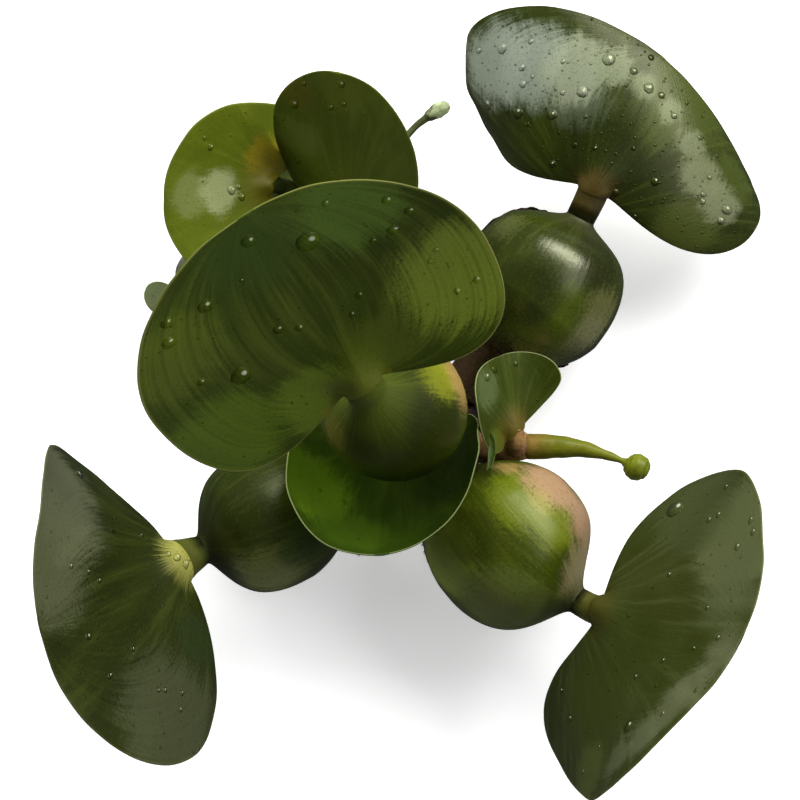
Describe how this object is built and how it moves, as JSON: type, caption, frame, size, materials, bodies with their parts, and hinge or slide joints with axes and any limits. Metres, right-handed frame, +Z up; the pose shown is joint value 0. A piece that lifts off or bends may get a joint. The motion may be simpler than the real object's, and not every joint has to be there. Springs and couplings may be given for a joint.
{
  "type": "water hyacinth plant",
  "caption": "Floating water hyacinth picked whole: rosette of glossy kidney-shaped blades on swollen floats, with a side shoot, a daughter plant on a runner, and dark feathery roots.",
  "frame": {"origin": "on the surface the plant rests on, under the middle of the main crown", "axes": "+Z up, +X to the picture's right, +Y to the picture's top, where the daughter plant grows"},
  "size_m": [0.1745, 0.1938, 0.1168],
  "materials": {
    "crown": "rough, fibrous, damp dark brown",
    "float_dark": "wet and glossy, dark green with brown and cream edges",
    "float_light": "wet and glossy, yellow-green turning pinkish tan",
    "blade_dark": "waxy and wet, dark olive green with fine arching veins",
    "blade_light": "waxy and wet, yellow-green with fine arching veins",
    "blade_young": "smooth and wet, bright green with a pale rim",
    "runner": "smooth, damp, pinkish brown",
    "shoot": "smooth, damp, yellow-green, brown at the foot",
    "old_sheath": "thin, dry, dark purple-brown",
    "roots": "feathery, matted, nearly black"
  },
  "bodies": {
    "root": {"back_right_blade": "blade_dark", "back_right_float": "float_dark", "centre_blade": "blade_dark", "centre_float": "float_dark", "crown": "crown", "daughter_back_blade": "blade_light", "daughter_back_float": "float_light", "daughter_crown": "crown", "daughter_left_blade": "blade_light", "daughter_left_float": "float_light", "daughter_right_blade": "blade_dark", "daughter_right_float": "float_dark", "daughter_root_mat": "roots", "front_cup_blade": "blade_young", "front_cup_stalk": "blade_young", "front_left_blade": "blade_dark", "front_left_float": "float_dark", "front_right_blade": "blade_dark", "front_right_float": "float_light", "old_sheath_back": "old_sheath", "old_sheath_right": "old_sheath", "root_1": "roots", "root_2": "roots", "root_3": "roots", "root_4": "roots", "root_5": "roots", "root_6": "roots", "root_7": "roots", "root_mat": "roots", "runner": "runner", "side_shoot": "shoot", "side_stem": "runner", "sprout": "shoot", "young_blade": "blade_young", "young_sheath": "blade_young", "young_stalk": "blade_young"}
  },
  "joints": []
}
